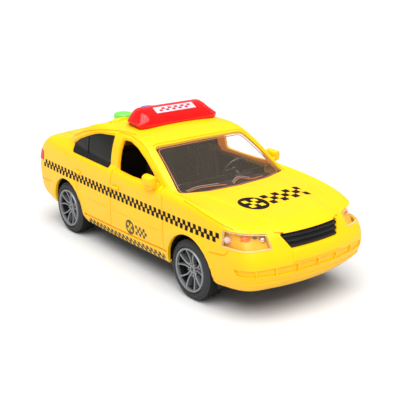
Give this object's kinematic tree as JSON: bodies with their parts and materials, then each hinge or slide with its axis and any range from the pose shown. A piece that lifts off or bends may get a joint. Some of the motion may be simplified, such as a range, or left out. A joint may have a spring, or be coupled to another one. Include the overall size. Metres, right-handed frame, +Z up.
{
  "type": "friction toy car",
  "caption": "Toy saloon taxi with a clear windscreen, roof light bar, push buttons, spoked wheels and a geared flywheel friction drive.",
  "frame": {"origin": "on the ground under the middle of the car", "axes": "+X forward, towards the nose; +Y to the car's left; +Z up"},
  "size_m": [0.2472, 0.1052, 0.0957],
  "materials": {
    "yellow_plastic": "glossy injection-moulded ABS",
    "black_plastic": "satin moulded plastic",
    "tyre_rubber": "matt soft PVC",
    "silver_plastic": "silver-painted plastic",
    "steel": "bright steel",
    "clear_plastic": "clear moulded polystyrene",
    "smoke_plastic": "dark glossy plastic",
    "red_clear_plastic": "translucent red plastic",
    "green_plastic": "glossy plastic",
    "blue_plastic": "glossy plastic",
    "orange_plastic": "glossy plastic",
    "white_plastic": "white plastic",
    "gear_plastic": "self-coloured acetal",
    "circuit_board": "green laminate"
  },
  "bodies": {
    "car": {"battery_cover": "black_plastic", "battery_cover_screw": "steel", "body_screw_front_left": "steel", "body_screw_front_right": "steel", "body_screw_rear_left": "steel", "body_screw_rear_right": "steel", "body_shell": "yellow_plastic", "button_board": "circuit_board", "button_cell_1": "steel", "button_cell_2": "steel", "button_cell_3": "steel", "cabin_tub": "black_plastic", "chassis": "black_plastic", "dashboard": "black_plastic", "first_gear_shaft": "steel", "gearbox_case_left": "black_plastic", "gearbox_case_right": "black_plastic", "gearbox_screw_left": "steel", "gearbox_screw_right": "steel", "grille_insert": "black_plastic", "headlight_lens_left": "clear_plastic", "headlight_lens_right": "clear_plastic", "led": "white_plastic", "light_bar_base": "white_plastic", "light_bar_label": "white_plastic", "light_bar_lens": "red_clear_plastic", "mirror_left": "yellow_plastic", "mirror_right": "yellow_plastic", "rear_side_window_left": "smoke_plastic", "rear_side_window_right": "smoke_plastic", "rear_window": "smoke_plastic", "second_gear_shaft": "steel", "sound_board": "circuit_board", "speaker": "black_plastic", "steering_wheel": "black_plastic", "switch_blue": "black_plastic", "switch_green": "black_plastic", "switch_orange": "black_plastic", "tail_light_left": "red_clear_plastic", "tail_light_right": "red_clear_plastic", "windscreen": "clear_plastic"},
    "front_wheels": {"front_axle": "steel", "rim_front_right": "silver_plastic", "rim_front_left": "silver_plastic", "tyre_front_right": "tyre_rubber", "tyre_front_left": "tyre_rubber"},
    "rear_wheels": {"rear_axle": "steel", "axle_gear": "gear_plastic", "rim_rear_right": "silver_plastic", "rim_rear_left": "silver_plastic", "tyre_rear_right": "tyre_rubber", "tyre_rear_left": "tyre_rubber"},
    "first_gear_body": {"first_gear": "gear_plastic"},
    "second_gear_body": {"second_gear": "gear_plastic"},
    "flywheel_body": {"flywheel": "steel", "flywheel_pinion": "steel", "flywheel_shaft": "steel"},
    "green_button_body": {"button_green": "green_plastic"},
    "blue_button_body": {"button_blue": "blue_plastic"},
    "orange_button_body": {"button_orange": "orange_plastic"}
  },
  "joints": [
    {"name": "front_wheels_spin", "type": "hinge", "parent": "car", "child": "front_wheels", "pos_m": [0.0665, 0, 0.0182], "axis": [0, 1, 0], "continuous": true},
    {"name": "rear_wheels_spin", "type": "hinge", "parent": "car", "child": "rear_wheels", "pos_m": [-0.0775, 0, 0.0182], "axis": [0, 1, 0], "continuous": true},
    {"name": "first_gear_spin", "type": "hinge", "parent": "car", "child": "first_gear_body", "pos_m": [-0.06711, 0, 0.0242], "axis": [0, 1, 0], "continuous": true},
    {"name": "second_gear_spin", "type": "hinge", "parent": "car", "child": "second_gear_body", "pos_m": [-0.05511, 0, 0.0242], "axis": [0, 1, 0], "continuous": true},
    {"name": "flywheel_spin", "type": "hinge", "parent": "car", "child": "flywheel_body", "pos_m": [-0.04352, 0, 0.02109], "axis": [0, 1, 0], "continuous": true},
    {"name": "green_button_press", "type": "slide", "parent": "car", "child": "green_button_body", "axis": [0, 0, -1], "range_m": [0, 0.0012], "stiffness_N_per_m": 200, "springref_m": -0.0004},
    {"name": "blue_button_press", "type": "slide", "parent": "car", "child": "blue_button_body", "axis": [0, 0, -1], "range_m": [0, 0.0012], "stiffness_N_per_m": 200, "springref_m": -0.0004},
    {"name": "orange_button_press", "type": "slide", "parent": "car", "child": "orange_button_body", "axis": [0, 0, -1], "range_m": [0, 0.0012], "stiffness_N_per_m": 200, "springref_m": -0.0004}
  ],
  "couplings": [
    {"joint": "second_gear_spin", "follows": "flywheel_spin", "ratio": -0.42857},
    {"joint": "first_gear_spin", "follows": "flywheel_spin", "ratio": 0.18367},
    {"joint": "rear_wheels_spin", "follows": "flywheel_spin", "ratio": -0.078717}
  ]
}
